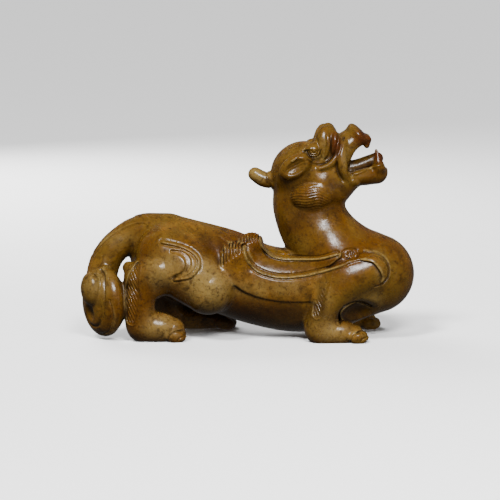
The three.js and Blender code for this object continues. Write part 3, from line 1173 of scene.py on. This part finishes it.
class Nodes:
    """Short ways to add and join the nodes of a material."""

    def __init__(self, material):
        material.use_nodes = True
        self.tree = material.node_tree
        self.shader = self.tree.nodes["Principled BSDF"]
        self.place = self.tree.nodes.new("ShaderNodeTexCoord").outputs["Object"]

    def link(self, source, socket):
        self.tree.links.new(source, socket)

    def attribute(self, name):
        node = self.tree.nodes.new("ShaderNodeAttribute")
        node.attribute_name = name
        return node.outputs["Fac"]

    def noise(self, scale, detail, roughness=0.6, distortion=0.0):
        node = self.tree.nodes.new("ShaderNodeTexNoise")
        self.link(self.place, node.inputs["Vector"])
        node.inputs["Scale"].default_value = scale
        node.inputs["Detail"].default_value = detail
        node.inputs["Roughness"].default_value = roughness
        node.inputs["Distortion"].default_value = distortion
        return node.outputs["Fac"]

    def math(self, operation, a, b):
        node = self.tree.nodes.new("ShaderNodeMath")
        node.operation = operation
        for socket, value in zip(node.inputs, (a, b)):
            if isinstance(value, (int, float)):
                socket.default_value = value
            else:
                self.link(value, socket)
        return node.outputs[0]

    def spread(self, value, low, high, to_low=0.0, to_high=1.0):
        """Maps low to high smoothly onto another range."""
        node = self.tree.nodes.new("ShaderNodeMapRange")
        node.interpolation_type = "SMOOTHSTEP"
        self.link(value, node.inputs["Value"])
        node.inputs["From Min"].default_value = low
        node.inputs["From Max"].default_value = high
        node.inputs["To Min"].default_value = to_low
        node.inputs["To Max"].default_value = to_high
        return node.outputs["Result"]

    def mix(self, share, a, b):
        node = self.tree.nodes.new("ShaderNodeMix")
        node.data_type = "RGBA"
        self.link(share, node.inputs["Factor"])
        for name, value in (("A_Color", a), ("B_Color", b)):
            socket = next(s for s in node.inputs if s.identifier == name)
            if isinstance(value, tuple):
                socket.default_value = (*value, 1)
            else:
                self.link(value, socket)
        return next(s for s in node.outputs if s.identifier == "Result_Color")


def stone_colour(nodes, recess):
    """Brown and olive clouds with patches of other colours, of painted highlights and of painted shade,
    veins, specks, raised edges with wear and painted highlights, and dirt with painted shade in the
    recesses.
    """
    broken = nodes.math("SUBTRACT", nodes.noise(95, 6, 0.65, 0.3), 0.5)

    def patch(name, low, high, most):
        ragged = nodes.math("ADD", nodes.attribute(name), broken)
        return nodes.spread(ragged, low, high, 0, most)

    clouds = nodes.spread(nodes.noise(34, 4, 0.55, 0.6), 0.36, 0.64)
    glow = nodes.spread(nodes.noise(70, 5, 0.6, 0.4), 0.5, 0.72, 0, 0.7)
    # Raised edges painted paler: wear and a painted highlight
    edge_wear_and_highlight = nodes.spread(nodes.attribute("wear_and_highlight"), 0.2, 0.7, 0, 0.7)
    blotches = nodes.spread(nodes.noise(150, 6, 0.7, 0.5), 0.52, 0.7, 0, 0.5)
    veins = nodes.spread(nodes.noise(300, 8, 0.75, 0.6), 0.5, 0.66, 0, 0.7)
    specks = nodes.spread(nodes.noise(900, 6, 0.75, 0.8), 0.5, 0.66, 0, 0.75)
    over_the_clouds = [
        (glow, GOLD),
        # Pale patches: paler stone and painted highlights. Dark patches: darker stone and painted shade
        (patch("pale", 0.1, 1.1, 0.7), CELADON),
        (patch("dark", 0.2, 1.2, 0.8), UMBER),
        (edge_wear_and_highlight, CELADON),
        (patch("russet", 0.25, 1.1, 0.85), RUSSET),
        (blotches, UMBER),
        (veins, UMBER),
        (specks, UMBER),
        # Dirt and painted shade in the recesses
        (recess, DIRT_AND_SHADE),
    ]
    colour = nodes.mix(clouds, BROWN, OLIVE)
    for share, other in over_the_clouds:
        colour = nodes.mix(share, colour, other)
    return colour


def bumps(nodes):
    """Tiny unevenness in the polish."""
    bump = nodes.tree.nodes.new("ShaderNodeBump")
    bump.inputs["Strength"].default_value = 0.25
    bump.inputs["Distance"].default_value = 0.0002
    nodes.link(nodes.noise(700, 6, 0.65), bump.inputs["Height"])
    return bump.outputs["Normal"]


def jade():
    """Brown and olive jade: cloudy colour, fine mottling, dark dirt and painted shade in the recesses, a
    waxy polish.
    """
    material = bpy.data.materials.new("jade")
    nodes = Nodes(material)
    inputs = nodes.shader.inputs
    # How recessed each point is: dirt and painted shade in the colour, and a duller polish
    recess = nodes.spread(nodes.attribute("recess"), 0.25, 1.2, 0, 0.75)
    nodes.link(stone_colour(nodes, recess), inputs["Base Color"])
    polish = nodes.spread(nodes.noise(420, 5), 0.4, 0.75, 0.2, 0.34)
    duller = nodes.math("MULTIPLY", recess, 0.2)
    nodes.link(nodes.math("ADD", polish, duller), inputs["Roughness"])
    nodes.link(bumps(nodes), inputs["Normal"])
    inputs["Subsurface Weight"].default_value = 0.12
    inputs["Subsurface Radius"].default_value = (1, 0.5, 0.15)
    inputs["Subsurface Scale"].default_value = 0.002
    inputs["IOR"].default_value = 1.5
    inputs["Specular IOR Level"].default_value = 0.3
    return material


# Studio


def camera():
    data = bpy.data.cameras.new("camera")
    data.sensor_width = SENSOR_WIDTH
    data.lens = SENSOR_WIDTH * CAMERA_DISTANCE / VIEW_WIDTH
    made = bpy.data.objects.new("camera", data)
    angle = np.radians(CAMERA_HEIGHT_ANGLE)
    made.location = CAMERA_TARGET + CAMERA_DISTANCE * Vector((0, -np.cos(angle), np.sin(angle)))
    made.rotation_euler = (np.pi / 2 - angle, 0, 0)
    bpy.context.scene.collection.objects.link(made)
    bpy.context.scene.camera = made


def lamp(name, kind, location, power, width, glossy=False):
    """A lamp that shines on the carving: a softbox of this width in metres, or a sky this wide in
    radians. A glossy one also shows in the polish."""
    data = bpy.data.lights.new(name, kind)
    data.energy = power
    if kind == "AREA":
        data.size = width
    else:
        data.angle = width
    made = bpy.data.objects.new(name, data)
    made.location = location
    made.visible_glossy = glossy
    made.rotation_euler = (Vector(location) - LIT_SPOT).to_track_quat("Z", "Y").to_euler()
    bpy.context.scene.collection.objects.link(made)


def floor():
    """A pale floor that throws no light back on the stone and isn't mirrored in it."""
    bpy.ops.mesh.primitive_plane_add(size=30)
    made = bpy.context.object
    made.name = "floor"
    made.visible_diffuse = False
    made.visible_glossy = False
    material = bpy.data.materials.new("floor")
    material.use_nodes = True
    inputs = material.node_tree.nodes["Principled BSDF"].inputs
    inputs["Base Color"].default_value = (0.92, 0.92, 0.92, 1)
    inputs["Roughness"].default_value = 0.9
    made.data.materials.append(material)


def surroundings():
    """A faint even light from all around."""
    world = bpy.data.worlds.new("studio")
    world.use_nodes = True
    inputs = world.node_tree.nodes["Background"].inputs
    inputs["Color"].default_value = (1, 1, 1, 1)
    inputs["Strength"].default_value = 0.14
    bpy.context.scene.world = world


def studio():
    floor()
    surroundings()
    lamp("sky", "SUN", (-0.35, -0.45, 0.8), power=4.5, width=0.25)
    lamp("front", "AREA", (0.1, -0.62, 0.55), power=10, width=0.22, glossy=True)
    lamp("low", "AREA", (0.5, -0.45, 0.1), power=3, width=0.3)
    lamp("back", "AREA", (-0.3, 0.5, 0.35), power=8, width=0.5)


# Whole scene

camera()
studio()
made = carve_beast()
made.data.materials.append(jade())
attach(made, "root")
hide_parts("jade_mythical_beast")
